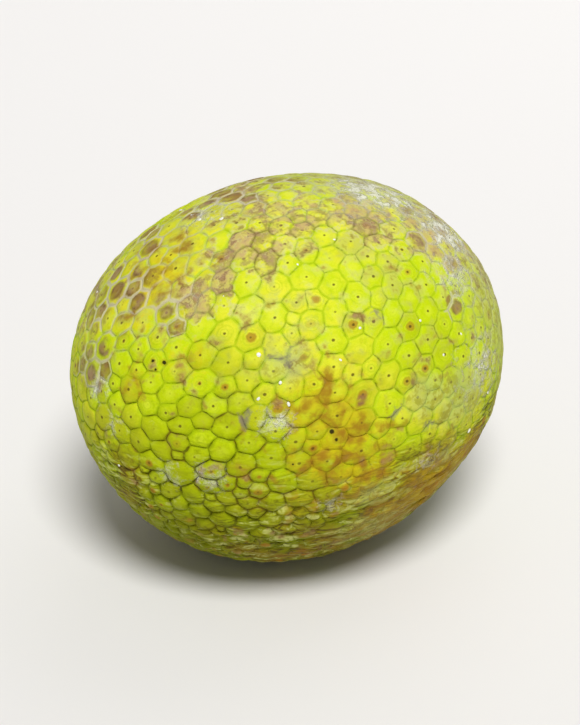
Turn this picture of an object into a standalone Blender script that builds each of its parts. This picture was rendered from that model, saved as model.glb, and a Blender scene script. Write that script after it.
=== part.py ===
"""A whole ripe breadfruit lying on its side, as one solid.

The fruit grew in one piece: a fleshy body paved all over with raised polygonal
areoles that meet in narrow grooves. One end holds the corky scar where the stalk
snapped off, and the underside is pressed into a small flat spot that it rests on.

Metres, +Z up, +X towards the stalk scar. The origin is on the resting plane under
the middle of the fruit.
"""

import math
import random

import bmesh
import bpy
from mathutils import Vector

# Driving dimensions of the body.
LENGTH = 0.178
WIDTH = 0.150
REST_SINK = 0.0011

# The areoles: how many, how far each strays from its place in the spiral (as a share
# of their spacing), and how often the layout is evened out.
AREOLES = 720
STRAY = 0.34
EVENING_PASSES = 2
EVENING_FACTOR = 0.4
SEED = 11
GOLDEN_ANGLE = math.pi * (3.0 - math.sqrt(5.0))

# Relief of the areoles above the grooves between them.
GROOVE_HALF_WIDTH = 0.0011
RELIEF_LOW = 0.0009
RELIEF_HIGH = 0.0019
RUGGED_SIDE = (225.0, -15.0)
RUGGED_SPREAD = math.radians(55.0)

# Gentle swellings (+) and flats (-) of the body: bearing from +X about +Z, height
# above the horizon, spread (all in degrees), and the rise as a share of the radius.
SWELLINGS = (
    (217.0, -52.0, 30.0, 0.014),
    (139.0, 13.0, 32.0, 0.016),
    (163.0, -26.0, 26.0, -0.016),
    (-52.0, -30.0, 30.0, -0.012),
    (94.0, 54.0, 30.0, -0.012),
    (20.0, -5.0, 34.0, 0.010),
)

# The stalk scar at the +X end: the ring of small areoles that frames it, and then
# its steps inwards, each as (width of the step, rise of the step).
SCAR_RING_COUNT = 12
SCAR_RING_ANGLE = math.radians(12.5)
SPIRAL_START_ANGLE = math.radians(17.5)
SCAR_STEPS = (
    (0.0016, -0.0012),
    (0.0022, -0.0014),
    (0.0006, 0.0024),
    (0.0008, 0.0006),
    (0.0022, -0.0009),
)

SKIN_COLOUR = (0.56, 0.60, 0.045, 1.0)
SCAR_COLOUR = (0.16, 0.085, 0.035, 1.0)


def clear_scene():
    """Remove whatever the file opened with."""
    for thing in list(bpy.data.objects):
        bpy.data.objects.remove(thing)


def make_material(name, colour, roughness):
    """A plain Principled material."""
    material = bpy.data.materials.new(name)
    material.use_nodes = True
    shader = material.node_tree.nodes["Principled BSDF"]
    shader.inputs["Base Color"].default_value = colour
    shader.inputs["Roughness"].default_value = roughness
    shader.inputs["Metallic"].default_value = 0.0
    return material


def toward(bearing, height):
    """Unit direction from a bearing about +Z and a height above the horizon, in degrees."""
    flat = math.cos(math.radians(height))
    return Vector(
        (
            flat * math.cos(math.radians(bearing)),
            flat * math.sin(math.radians(bearing)),
            math.sin(math.radians(height)),
        )
    )


def falloff(direction, middle, spread):
    """1 at the middle direction, fading smoothly over the spread in radians."""
    return math.exp(-((direction.angle(middle) / spread) ** 2))


def body_point(direction):
    """Point of the fruit's smooth outer surface in a direction from its middle."""
    swell = 1.0
    for bearing, height, spread, rise in SWELLINGS:
        swell += rise * falloff(direction, toward(bearing, height), math.radians(spread))
    return Vector(
        (
            direction.x * LENGTH / 2 * swell,
            direction.y * WIDTH / 2 * swell,
            direction.z * WIDTH / 2 * swell,
        )
    )


def relief_at(direction):
    """Height of the areoles over their grooves, which is greatest on the rugged side."""
    ruggedness = falloff(direction, toward(*RUGGED_SIDE), RUGGED_SPREAD)
    return RELIEF_LOW + (RELIEF_HIGH - RELIEF_LOW) * ruggedness


def about_x(angle_from_x, turn):
    """Unit direction at an angle from +X, turned about the X axis."""
    across = math.sin(angle_from_x)
    return Vector((math.cos(angle_from_x), across * math.cos(turn), across * math.sin(turn)))


def areole_directions():
    """Directions of the areoles: the scar, the ring that frames it, then a spiral to the far end."""
    chance = random.Random(SEED)
    directions = [Vector((1.0, 0.0, 0.0))]
    for i in range(SCAR_RING_COUNT):
        directions.append(about_x(SCAR_RING_ANGLE, 2 * math.pi * i / SCAR_RING_COUNT))
    in_spiral = AREOLES - len(directions)
    start = math.cos(SPIRAL_START_ANGLE)
    stray = STRAY * math.sqrt(4 * math.pi / AREOLES)
    for i in range(in_spiral):
        along = start - (start + 1.0) * (i + 0.5) / in_spiral
        place = about_x(math.acos(along), i * GOLDEN_ANGLE)
        wander = Vector([chance.uniform(-1.0, 1.0) for _ in range(3)])
        directions.append((place + wander * stray).normalized())
    return directions


def hull_over(mesh):
    """Replace the faces of a ball of points by the triangles of their hull."""
    bmesh.ops.delete(mesh, geom=list(mesh.edges), context="EDGES_FACES")
    bmesh.ops.convex_hull(mesh, input=list(mesh.verts), use_existing_faces=False)


def even_out(mesh, fixed):
    """Ease the points towards their neighbours' middles, keeping the first ones in place."""
    mesh.verts.ensure_lookup_table()
    bmesh.ops.smooth_vert(
        mesh,
        verts=mesh.verts[fixed:],
        factor=EVENING_FACTOR,
        use_axis_x=True,
        use_axis_y=True,
        use_axis_z=True,
    )
    for vert in mesh.verts:
        vert.co.normalize()


def turn_into_cells(mesh):
    """Swap triangles for cells: one polygon round each point, whose corners are the triangles' middles."""
    centres = list(mesh.verts)
    struts = list(mesh.edges)
    bmesh.ops.poke(mesh, faces=list(mesh.faces))
    bmesh.ops.rotate_edges(mesh, edges=struts, use_ccw=False)
    bmesh.ops.dissolve_verts(mesh, verts=centres)
    for vert in mesh.verts:
        vert.co.normalize()


def areole_cells():
    """Mesh of polygonal cells on the unit sphere, one for each areole and one for the scar."""
    mesh = bmesh.new()
    for direction in areole_directions():
        mesh.verts.new(direction)
    for _ in range(EVENING_PASSES):
        hull_over(mesh)
        even_out(mesh, 1 + SCAR_RING_COUNT)
    hull_over(mesh)
    turn_into_cells(mesh)
    bmesh.ops.recalc_face_normals(mesh, faces=list(mesh.faces))
    return mesh


def step_in(mesh, face, width, rise):
    """Inset one face by a width and raise it by a height along its normal."""
    bmesh.ops.inset_individual(
        mesh, faces=[face], thickness=width, depth=rise, use_even_offset=True
    )


def carve_scar(mesh, face):
    """Step the polar cell down into a dimple with the corky stalk plug in its middle."""
    inner_faces = []
    for width, rise in SCAR_STEPS:
        before = set(mesh.faces)
        step_in(mesh, face, width, rise)
        inner_faces.extend(set(mesh.faces) - before)
    plug_rings = len(SCAR_STEPS) - 1
    for wall in inner_faces[-plug_rings * len(face.verts):] + [face]:
        wall.material_index = 1


def press_flat(mesh):
    """Press the lowest stretch of the underside up into one plane, and put it at z = 0."""
    resting = min(vert.co.z for vert in mesh.verts) + REST_SINK
    for vert in mesh.verts:
        vert.co.z = max(vert.co.z, resting) - resting


def centre_on_origin(mesh):
    """Bring the middle of the fruit's length and width over the origin."""
    for axis in (0, 1):
        reach = [vert.co[axis] for vert in mesh.verts]
        middle = (min(reach) + max(reach)) / 2
        for vert in mesh.verts:
            vert.co[axis] -= middle


def make_breadfruit():
    """Build the fruit: cells on a sphere, drawn out to the body, with every areole raised."""
    mesh = areole_cells()
    directions = {cell: cell.calc_center_median().normalized() for cell in mesh.faces}
    scar = max(directions, key=lambda cell: directions[cell].x)
    for vert in mesh.verts:
        outward = vert.co.normalized()
        vert.co = body_point(outward) - outward * relief_at(outward)
    mesh.normal_update()
    for cell, direction in directions.items():
        if cell is not scar:
            step_in(mesh, cell, GROOVE_HALF_WIDTH, relief_at(direction))
    carve_scar(mesh, scar)
    press_flat(mesh)
    centre_on_origin(mesh)

    data = bpy.data.meshes.new("breadfruit")
    mesh.to_mesh(data)
    mesh.free()
    data.materials.append(make_material("breadfruit_skin", SKIN_COLOUR, 0.42))
    data.materials.append(make_material("corky_scar", SCAR_COLOUR, 0.85))
    fruit = bpy.data.objects.new("breadfruit", data)
    bpy.context.scene.collection.objects.link(fruit)
    return fruit


clear_scene()
make_breadfruit()
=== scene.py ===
"""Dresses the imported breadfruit: fine areoles, blemished ripe rind, dried latex and a corky stalk scar.

The rind keeps the form of the solid it stands for. Its areoles follow the same kind of spiral,
but there are more of them, nearly at their true size. Metres, +Z up, +X towards the scar.
"""

from __future__ import annotations

import logging
import math
import random
from dataclasses import dataclass, field
from enum import Enum
from functools import reduce

import bmesh
import bpy
import numpy as np
from mathutils import Matrix, Vector, noise

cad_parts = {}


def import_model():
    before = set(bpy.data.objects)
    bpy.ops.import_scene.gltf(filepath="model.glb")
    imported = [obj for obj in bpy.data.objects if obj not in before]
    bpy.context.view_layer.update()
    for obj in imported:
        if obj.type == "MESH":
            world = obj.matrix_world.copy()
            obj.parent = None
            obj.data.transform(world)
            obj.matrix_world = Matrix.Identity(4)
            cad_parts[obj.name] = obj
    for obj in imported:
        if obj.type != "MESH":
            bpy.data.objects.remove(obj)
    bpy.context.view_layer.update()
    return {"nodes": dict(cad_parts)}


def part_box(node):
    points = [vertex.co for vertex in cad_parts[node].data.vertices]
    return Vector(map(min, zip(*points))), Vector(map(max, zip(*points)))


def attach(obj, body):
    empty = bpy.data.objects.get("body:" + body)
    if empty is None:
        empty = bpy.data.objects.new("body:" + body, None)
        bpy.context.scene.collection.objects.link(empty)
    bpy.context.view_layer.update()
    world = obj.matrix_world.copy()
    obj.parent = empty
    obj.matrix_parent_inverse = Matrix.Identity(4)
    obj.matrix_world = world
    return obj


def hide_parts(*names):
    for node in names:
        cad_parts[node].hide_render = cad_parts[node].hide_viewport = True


log = logging.getLogger("breadfruit")

Colour = tuple[float, float, float]
Socket = bpy.types.NodeSocket
Layers = dict[str, bmesh.types.BMLayerItem]

MM = 0.001
FRUIT_NODE = "breadfruit"
BODY = "root"
NOISE_SEED = 5
GOLDEN_ANGLE = math.pi * (3.0 - math.sqrt(5.0))


def toward(bearing: float, height: float) -> Vector:
    """Unit direction from a bearing about +Z and a height above the horizon.

    Args:
        bearing: degrees from +X, turning about +Z.
        height: degrees above the horizon.

    Returns:
        The unit direction.
    """
    turn, rise = math.radians(bearing), math.radians(height)
    flat = math.cos(rise)
    return Vector((flat * math.cos(turn), flat * math.sin(turn), math.sin(rise)))


def nearness(directions: np.ndarray, middle: Vector, spread: float) -> np.ndarray:
    """How near each direction is to a middle one, fading smoothly from 1 to 0.

    Args:
        directions: unit directions, one a row.
        middle: the unit direction to be near.
        spread: how fast it fades, in degrees.

    Returns:
        One share for each direction.
    """
    angles = np.arccos(np.clip(directions @ np.array(middle), -1.0, 1.0))
    return np.exp(-((angles / math.radians(spread)) ** 2))


def ease(mesh: bmesh.types.BMesh, verts: list[bmesh.types.BMVert], factor: float) -> None:
    """Move points part of the way to the middle of their neighbours."""
    axes = {"use_axis_x": True, "use_axis_y": True, "use_axis_z": True}
    bmesh.ops.smooth_vert(mesh, verts=verts, factor=factor, **axes)


def place(name: str, data: bpy.types.ID) -> bpy.types.Object:
    """Put a mesh, light or camera in the scene as an object of this name."""
    thing = bpy.data.objects.new(name, data)
    bpy.context.scene.collection.objects.link(thing)
    return thing


def finished(mesh: bmesh.types.BMesh, name: str) -> bpy.types.Object:
    """Put a modelled mesh in the scene as a smooth object, and free the bmesh."""
    data = bpy.data.meshes.new(name)
    mesh.to_mesh(data)
    mesh.free()
    data.shade_smooth()
    return place(name, data)


class BlemishKind(Enum):
    """What a patch of the rind has been through, or painted sheen where a kind's name says so. Each value
    names the mesh attribute that holds it.
    """

    BROWNED = "browned"
    SCUFFED = "scuffed"
    RUST = "rust"
    LATEX_AND_SHEEN = "latex"
    DULLED_AND_SHEEN = "dulled_and_sheen"
    NETTED = "netted"
    GREYED = "greyed"
    CREASED = "creased"
    GOLDEN = "golden"
    UNRIPE = "unripe"


@dataclass(frozen=True)
class Blemish:
    """A soft-edged patch on the rind, placed by its direction from the fruit's middle, in degrees."""

    kind: BlemishKind
    bearing: float
    height: float
    spread: float
    strength: float


@dataclass(frozen=True)
class Swelling:
    """A gentle rise (+) or flat (-) of the body, as a share of its radius. Angles are in degrees."""

    bearing: float
    height: float
    spread: float
    rise: float


@dataclass
class FruitBody:
    """The smooth form of the fruit, under its areoles. Sizes are in metres, angles in degrees."""

    length: float = 0.178
    width: float = 0.150
    relief_low: float = 0.34 * MM
    relief_high: float = 1.2 * MM
    rugged_bearing: float = 225.0
    rugged_height: float = -15.0
    rugged_spread: float = 48.0
    swellings: tuple[Swelling, ...] = (
        Swelling(217.0, -52.0, 30.0, 0.014),
        Swelling(139.0, 13.0, 32.0, 0.016),
        Swelling(163.0, -26.0, 26.0, -0.016),
        Swelling(-52.0, -30.0, 30.0, -0.012),
        Swelling(94.0, 54.0, 30.0, -0.012),
        Swelling(20.0, -5.0, 34.0, 0.010),
    )
    seat: np.ndarray = field(default_factory=lambda: np.zeros(3))

    @property
    def half_sizes(self) -> np.ndarray:
        """Half the length, width and height."""
        return np.array((self.length, self.width, self.width)) / 2

    def surface(self, directions: np.ndarray) -> np.ndarray:
        """Points of the smooth surface in these unit directions, from the fruit's own middle."""
        swell = np.ones(len(directions))
        for s in self.swellings:
            swell += s.rise * nearness(directions, toward(s.bearing, s.height), s.spread)
        return directions * self.half_sizes * swell[:, None]

    def normals(self, directions: np.ndarray) -> np.ndarray:
        """Outward unit normals of the plain ovoid, near enough to those of the body."""
        slopes = directions / self.half_sizes
        return slopes / np.linalg.norm(slopes, axis=1)[:, None]

    def settle(self, points: np.ndarray) -> None:
        """Work out where the fruit's middle sits, so that it fills the box of the solid it replaces.

        Args:
            points: the finished surface, from the fruit's own middle.
        """
        low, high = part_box(FRUIT_NODE)
        reach, back = points.max(axis=0), points.min(axis=0)
        across = [(low[i] + high[i] - reach[i] - back[i]) / 2 for i in (0, 1)]
        self.seat = np.array((*across, high.z - reach[2]))

    def spot(self, bearing: float, height: float) -> Vector:
        """Point of the seated surface at a bearing and a height above the horizon."""
        direction = np.array([tuple(toward(bearing, height))])
        return Vector(self.surface(direction)[0] + self.seat)

    def normal_at(self, bearing: float, height: float) -> Vector:
        """Outward unit normal at a bearing and a height above the horizon."""
        return Vector(self.normals(np.array([tuple(toward(bearing, height))]))[0])

    @property
    def rugged_side(self) -> Vector:
        """Direction of the side where the areoles stand out most."""
        return toward(self.rugged_bearing, self.rugged_height)

    def ruggedness(self, directions: np.ndarray) -> np.ndarray:
        """1 where the areoles stand out most, fading to 0 over the rest."""
        return nearness(directions, self.rugged_side, self.rugged_spread)

    def relief(self, directions: np.ndarray) -> np.ndarray:
        """Depth of the grooves between areoles in these directions."""
        span = self.relief_high - self.relief_low
        return self.relief_low + span * self.ruggedness(directions)


@dataclass
class AreoleNet:
    """The cells that pave the rind: the stalk scar, a ring round it, then a spiral.

    They are laid out evenly on a ball whose lower half is drawn down. Once it is a plain ball
    again, the lower cells lie flatter and closer together than the upper ones. Strays are shares
    of the cells' spacing.
    """

    body: FruitBody
    count: int = 985
    draw_down: float = 0.6
    depth_steps: int = 200
    stray: float = 0.25
    rugged_stray: float = 0.34
    crowding: float = 0.11
    evening_passes: int = 3
    evening_factor: float = 0.5
    seed: int = 11
    scar_ring_count: int = 12
    scar_ring_angle: float = math.radians(12.5)
    spiral_start_angle: float = math.radians(17.5)

    def _about_x(self, angle_from_x: float, turn: float) -> Vector:
        """Unit direction at an angle from +X, turned about the X axis."""
        across = math.sin(angle_from_x)
        return Vector((math.cos(angle_from_x), across * math.cos(turn), across * math.sin(turn)))

    def _drawn(self, point: Vector) -> Vector:
        """Carry a point of the plain ball to the one with its lower half drawn down."""
        depth = max(-point.z, 0.0)
        return Vector((point.x, point.y, point.z - self.draw_down * depth * depth))

    def _plain(self, point: Vector) -> Vector:
        """Carry a point near the drawn-down ball back to the plain one."""
        z = point.z
        if z < 0.0:
            z = (1.0 - math.sqrt(1.0 - 4.0 * self.draw_down * z)) / (2.0 * self.draw_down)
        return Vector((point.x, point.y, z)).normalized()

    def _spiral(self, count: int) -> list[Vector]:
        """Unit directions spread evenly round the X axis, from near the scar to the far end."""
        start = math.cos(self.spiral_start_angle)
        alongs = [start - (start + 1.0) * (i + 0.5) / count for i in range(count)]
        return [self._about_x(math.acos(x), i * GOLDEN_ANGLE) for i, x in enumerate(alongs)]

    def _lower_half(self) -> list[Vector]:
        """Unit directions of the lower half, lowered so that they are even once it is drawn down."""
        depths = np.linspace(0.0, 1.0, self.depth_steps + 1)
        slopes = (1.0 - depths**2) * (1.0 + 2.0 * self.draw_down * depths) ** 2
        strips = np.sqrt(depths**2 + slopes)
        sums = np.cumsum(strips[1:] + strips[:-1])
        areas = np.concatenate(((0.0,), sums / (2 * self.depth_steps)))
        lowered = []
        for point in self._spiral(round(self.count * areas[-1])):
            if point.z < 0.0:
                depth = float(np.interp(-point.z, areas / areas[-1], depths))
                flat = Vector((point.x, point.y, 0.0)).normalized()
                lowered.append(flat * math.sqrt(1.0 - depth * depth) - Vector((0, 0, depth)))
        return lowered

    def _directions(self) -> list[Vector]:
        """Directions of the scar, its ring and every areole of the spiral, in that order."""
        chance = random.Random(self.seed)
        found = [Vector((1.0, 0.0, 0.0))]
        for i in range(self.scar_ring_count):
            found.append(self._about_x(self.scar_ring_angle, 2 * math.pi * i / self.scar_ring_count))
        upper_half = [point for point in self._spiral(self.count) if point.z >= 0.0]
        spacing = math.sqrt(4 * math.pi / self.count)
        for point in upper_half + self._lower_half():
            wander = Vector([chance.uniform(-1.0, 1.0) for _ in range(3)])
            rugged = self.body.ruggedness(np.array([tuple(point)]))[0]
            stray = (self.stray + self.rugged_stray * rugged) * spacing
            crowd = self.body.rugged_side * (self.crowding * rugged)
            found.append((point + crowd + wander * stray).normalized())
        return found

    def _hull(self, mesh: bmesh.types.BMesh) -> None:
        """Replace the faces of a ball of points by the triangles of their hull."""
        bmesh.ops.delete(mesh, geom=list(mesh.edges), context="EDGES_FACES")
        bmesh.ops.convex_hull(mesh, input=list(mesh.verts), use_existing_faces=False)

    def _even_out(self, mesh: bmesh.types.BMesh) -> None:
        """Ease the spiral's points towards their neighbours' middles."""
        mesh.verts.ensure_lookup_table()
        ease(mesh, mesh.verts[1 + self.scar_ring_count :], self.evening_factor)
        for vert in mesh.verts:
            vert.co = self._drawn(self._plain(vert.co))

    def build(self) -> bmesh.types.BMesh:
        """Make one polygon round each direction.

        Returns:
            A closed mesh of polygons on the unit ball.
        """
        mesh = bmesh.new()
        for direction in self._directions():
            mesh.verts.new(self._drawn(direction))
        for _ in range(self.evening_passes):
            self._hull(mesh)
            self._even_out(mesh)
        self._hull(mesh)
        centres, struts = list(mesh.verts), list(mesh.edges)
        bmesh.ops.poke(mesh, faces=list(mesh.faces))
        bmesh.ops.rotate_edges(mesh, edges=struts, use_ccw=False)
        bmesh.ops.dissolve_verts(mesh, verts=centres)
        for vert in mesh.verts:
            vert.co = self._plain(vert.co)
        bmesh.ops.recalc_face_normals(mesh, faces=list(mesh.faces))
        return mesh


@dataclass(frozen=True)
class AreoleStep:
    """One loop of an areole on its way in from the groove to the dot in its middle.

    A loop lies either a set width in from the groove, or at a share of the way out from the
    middle. Its height is a share of the groove's depth and of the dome's height, added up.
    """

    width: float = 0.0
    share: float = 0.0
    rounding: int = 0
    groove: float = 0.0
    dome: float = 0.0
    least_share: float = 0.6

    def radius(self, far: float) -> float:
        """Distance of the loop from the areole's middle, where its groove is this far out."""
        return max(far - self.width, self.least_share * far) if self.width else self.share * far


@dataclass(frozen=True)
class Areole:
    """What makes one areole its own: where it faces, how it leans and how it has ripened."""

    centre: Vector
    outline: tuple[Vector, ...]
    relief: float
    lean: Vector
    tilt: float
    dome: float
    tone: float
    dot: float
    chance: float


@dataclass
class Rind:
    """The fruit's outer skin: every areole with its groove, shoulder, crown and central pit."""

    body: FruitBody
    net: AreoleNet
    blemishes: tuple[Blemish, ...]
    edge_cuts: int = 2
    corner_rounding: float = 0.28
    groove_wander: float = 0.014
    groove_wander_scale: float = 17.0
    steps: tuple[AreoleStep, ...] = (
        AreoleStep(width=0.24 * MM, rounding=1, groove=-0.60),
        AreoleStep(width=0.66 * MM, rounding=1, groove=-0.33),
        AreoleStep(width=1.50 * MM, rounding=2, groove=-0.11, dome=0.30),
        AreoleStep(share=0.34, rounding=14, dome=1.0),
    )
    farthest_share: float = 0.985
    dome_low: float = 0.10 * MM
    dome_high: float = 0.42 * MM
    dome_spread: tuple[float, float] = (0.5, 1.4)
    pit_depth: float = 0.15 * MM
    tilt_low: float = 0.05 * MM
    tilt_high: float = 0.34 * MM
    tilt_spread: tuple[float, float] = (0.3, 1.0)
    relief_unevenness: float = 1.6
    least_relief: float = 0.1
    unevenness_scale: Vector = Vector((5.0, 5.0, 22.0))
    undulation: float = 0.40 * MM
    undulation_scale: float = 3.2
    ripple: float = 0.12 * MM
    rugged_ripple: float = 0.55 * MM
    ripple_scale: float = 15.0
    crease_smoothing: float = 0.8
    crease: float = 1.4 * MM
    crease_scale: Vector = Vector((4.0, 4.0, 24.0))
    scar_profile: tuple[tuple[float, float], ...] = (
        (0.965, -0.2),
        (0.91, 0.35),
        (0.84, 0.1),
        (0.77, -0.9),
        (0.70, -2.0),
        (0.63, -2.7),
        (0.50, -3.0),
    )
    seed: int = 5
    cell_count: int = field(default=0, init=False)

    def _round_cells(self, mesh: bmesh.types.BMesh) -> None:
        """Cut each groove into short lengths, round the corners and let the line wander."""
        bmesh.ops.bisect_edges(mesh, edges=list(mesh.edges), cuts=self.edge_cuts)
        ease(mesh, list(mesh.verts), self.corner_rounding)
        for vert in mesh.verts:
            stray = noise.noise_vector(vert.co * self.groove_wander_scale)
            vert.co = (vert.co + stray * self.groove_wander).normalized()

    def _add_layers(self, mesh: bmesh.types.BMesh) -> Layers:
        """Layers that hold each point's height and what the finish reads, lengths in mm."""
        names = ("height", "edge", "reach", "share", "tone", "dot", "chance")
        return {name: mesh.verts.layers.float.new(name) for name in names}

    def _mark(self, vert: bmesh.types.BMVert, layers: Layers, **values: float) -> None:
        """Write values to a point's layers by name."""
        for name, value in values.items():
            vert[layers[name]] = value

    def _inset(self, mesh: bmesh.types.BMesh, faces: list[bmesh.types.BMFace]) -> None:
        """Add a loop just inside the rim of each face, to be moved to its place."""
        bmesh.ops.inset_individual(mesh, faces=faces, thickness=1e-4, depth=0.0)

    def _amount(self, kind: BlemishKind, directions: np.ndarray) -> np.ndarray:
        """How much of one kind of blemish there is in each direction."""
        amount = np.zeros(len(directions))
        for b in self.blemishes:
            if b.kind is kind:
                near = nearness(directions, toward(b.bearing, b.height), b.spread)
                amount = np.maximum(amount, near * b.strength)
        return amount

    def _relief(self, directions: np.ndarray) -> np.ndarray:
        """Depth of the grooves in these directions, less where the rind is creased."""
        smoothed = 1 - self.crease_smoothing * self._amount(BlemishKind.CREASED, directions)
        return self.body.relief(directions) * smoothed

    def _unevenness(self, direction: Vector) -> float:
        """What share of its usual depth a groove has in this direction."""
        wave = noise.noise(direction * self.unevenness_scale)
        return max(1 + self.relief_unevenness * wave, self.least_relief)

    def _areoles(self, cells: list[bmesh.types.BMFace]) -> list[Areole]:
        """Give each cell its own relief, lean, dome, tone and dot.

        Args:
            cells: the cells of the net.

        Returns:
            One areole for each cell, in the same order.
        """
        chance = random.Random(self.seed)
        centres = [cell.calc_center_median().normalized() for cell in cells]
        facing = np.array([tuple(c) for c in centres])
        relief, rugged = self._relief(facing), self.body.ruggedness(facing)
        areoles = []
        for i, (cell, centre) in enumerate(zip(cells, centres)):
            lean = Vector([chance.uniform(-1, 1) for _ in range(3)])
            tilt = self.tilt_low + (self.tilt_high - self.tilt_low) * rugged[i]
            dome = self.dome_low + (self.dome_high - self.dome_low) * rugged[i]
            areoles.append(
                Areole(
                    centre=centre,
                    outline=tuple(v.co.copy() for v in cell.verts),
                    relief=relief[i],
                    lean=(lean - centre * lean.dot(centre)).normalized(),
                    tilt=tilt * chance.uniform(*self.tilt_spread),
                    dome=dome * chance.uniform(*self.dome_spread),
                    tone=chance.random(),
                    dot=chance.random(),
                    chance=chance.random(),
                )
            )
        return areoles

    def _rounded(self, reaches: list[float], passes: int) -> list[float]:
        """Ease the distances round a loop towards their neighbours, a pass at a time."""
        for _ in range(passes):
            before, after = reaches[-1:] + reaches[:-1], reaches[1:] + reaches[:1]
            reaches = [(a + 2 * b + c) / 4 for a, b, c in zip(before, reaches, after)]
        return reaches

    def _raise_areoles(
        self, mesh: bmesh.types.BMesh, cells: list[bmesh.types.BMFace], layers: Layers
    ) -> None:
        """Step every areole in from its groove to the pit in its middle.

        Args:
            mesh: the net of cells on the unit ball.
            cells: the areoles.
            layers: the point layers to fill.
        """
        span = (self.body.length + 2 * self.body.width) / 6
        areoles = self._areoles(cells)
        for step in self.steps:
            self._inset(mesh, cells)
            for cell, own in zip(cells, areoles):
                outs = [point - own.centre for point in own.outline]
                fars = [out.length * span for out in outs]
                eased = self._rounded(fars, step.rounding)
                marks = {"tone": own.tone, "dot": own.dot, "chance": own.chance}
                for vert, out, far, soft in zip(cell.verts, outs, fars, eased):
                    radius = min(step.radius(soft), self.farthest_share * far)
                    share = radius / far
                    vert.co = (own.centre + out * share).normalized()
                    lift = step.groove * own.relief * self._unevenness(vert.co)
                    lift += step.dome * own.dome
                    lift += own.tilt * own.lean.dot(out) / out.length * share
                    marks.update(height=lift / MM, edge=(far - radius) / MM)
                    self._mark(vert, layers, reach=radius / MM, share=share, **marks)
        for vert in bmesh.ops.poke(mesh, faces=cells)["verts"]:
            beside = [e.other_vert(vert) for e in vert.link_edges]
            means = {name: sum(v[layers[name]] for v in beside) / len(beside) for name in layers}
            means["height"] -= self.pit_depth / MM
            means["edge"] += means["reach"]
            means["reach"] = 0.0
            self._mark(vert, layers, **means)
            vert.co.normalize()

    def _sink_scar(
        self, mesh: bmesh.types.BMesh, scar: bmesh.types.BMFace, layers: Layers
    ) -> None:
        """Roll the polar cell's edge over into the dimple that the stalk grew from."""
        marks = {"edge": 3.0, "reach": 5.0, "share": 0.7, "tone": 0.5, "chance": 0.5}
        outline = [v.co.copy() for v in scar.verts]
        centre = sum(outline, Vector()).normalized()
        for share, height in self.scar_profile:
            self._inset(mesh, [scar])
            for vert, edge_point in zip(scar.verts, outline):
                vert.co = (centre + (edge_point - centre) * share).normalized()
                self._mark(vert, layers, height=height, **marks)

    def _sink_grooves(self, grooves: list[bmesh.types.BMVert], layers: Layers) -> None:
        """Sink the groove lines and give them the mean of the areoles beside them."""
        depths = self._relief(np.array([tuple(v.co) for v in grooves]))
        for vert, depth in zip(grooves, depths):
            beside = [e.other_vert(vert) for e in vert.link_edges]
            beside = [v for v in beside if v[layers["share"]] > 0.0]
            for name in ("tone", "dot", "chance", "reach"):
                own = [v[layers[name]] for v in beside] or [0.5]
                vert[layers[name]] = sum(own) / len(own)
            vert[layers["height"]] = -depth * self._unevenness(vert.co) / MM
        for vert in grooves:
            vert[layers["share"]] = 1.0

    def _swell(self, directions: np.ndarray) -> np.ndarray:
        """Gentle waves and ripples of the whole rind, and long folds where it is creased."""
        ripples = self.ripple + self.rugged_ripple * self.body.ruggedness(directions)
        creases = self.crease * self._amount(BlemishKind.CREASED, directions)
        swell = np.empty(len(directions))
        for i, (direction, ripple, crease) in enumerate(zip(directions, ripples, creases)):
            at = Vector(direction)
            swell[i] = self.undulation * noise.noise(at * self.undulation_scale)
            swell[i] += ripple * noise.noise(at * self.ripple_scale)
            swell[i] += crease * noise.noise(at * self.crease_scale)
        return swell

    def _lay_on_body(self, data: bpy.types.Mesh) -> np.ndarray:
        """Carry the mesh from the unit ball out to the fruit's surface, and rest it.

        Args:
            data: the mesh, whose points are unit directions.

        Returns:
            The unit directions, for what is placed by them later.
        """
        directions = np.empty(len(data.vertices) * 3)
        data.vertices.foreach_get("co", directions)
        directions = directions.reshape(-1, 3)
        heights = np.empty(len(data.vertices))
        data.attributes["height"].data.foreach_get("value", heights)
        lift = heights * MM + self._swell(directions)
        points = self.body.surface(directions)
        points += self.body.normals(directions) * lift[:, None]
        self.body.settle(points)
        points += self.body.seat
        np.maximum(points[:, 2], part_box(FRUIT_NODE)[0].z, out=points[:, 2])
        data.vertices.foreach_set("co", points.ravel())
        data.attributes.remove(data.attributes["height"])
        return directions

    def _mark_blemishes(self, data: bpy.types.Mesh, directions: np.ndarray) -> None:
        """Write one attribute for each kind of blemish, and one for the rugged side."""
        amounts = {kind.value: self._amount(kind, directions) for kind in BlemishKind}
        amounts["rugged"] = self.body.ruggedness(directions)
        for name, amount in amounts.items():
            layer = data.attributes.new(name, "FLOAT", "POINT")
            layer.data.foreach_set("value", amount.astype(np.float32))

    def build(self) -> bpy.types.Object:
        """Make the rind as one closed mesh.

        Returns:
            The rind's object, with the attributes that its finish reads.
        """
        mesh = self.net.build()
        self._round_cells(mesh)
        layers = self._add_layers(mesh)
        scar = max(mesh.faces, key=lambda cell: cell.calc_center_median().normalized().x)
        cells = [cell for cell in mesh.faces if cell is not scar]
        self.cell_count = len(cells)
        grooves = list(mesh.verts)
        self._raise_areoles(mesh, cells, layers)
        self._sink_scar(mesh, scar, layers)
        self._sink_grooves(grooves, layers)
        rind = finished(mesh, "rind")
        self._mark_blemishes(rind.data, self._lay_on_body(rind.data))
        return rind


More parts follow.
